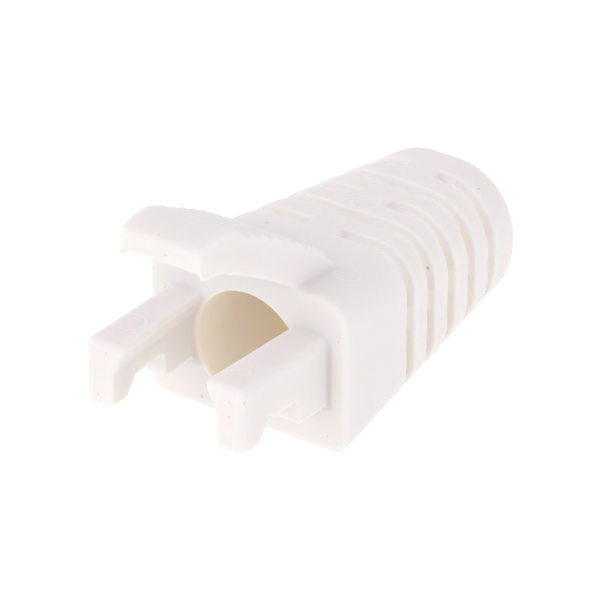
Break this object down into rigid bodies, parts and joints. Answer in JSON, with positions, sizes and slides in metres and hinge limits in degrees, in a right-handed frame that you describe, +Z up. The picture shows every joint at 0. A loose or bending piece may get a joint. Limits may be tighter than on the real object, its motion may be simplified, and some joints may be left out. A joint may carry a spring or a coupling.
{
  "type": "rj45 strain relief boot",
  "caption": "Snap-in strain relief boot for a modular cable plug: square block with hooked side arms and a raised ribbed latch guard, thinning to a grooved cable sleeve.",
  "frame": {"origin": "under the middle of the boot's length and width, on the plane of its flat underside", "axes": "+X across the boot, +Y from the plug end back along the cable, +Z up through the latch guard"},
  "size_m": [0.012, 0.0246, 0.0136],
  "materials": {
    "boot": "soft moulded, satin"
  },
  "bodies": {
    "root": {"boot": "boot"}
  },
  "joints": []
}
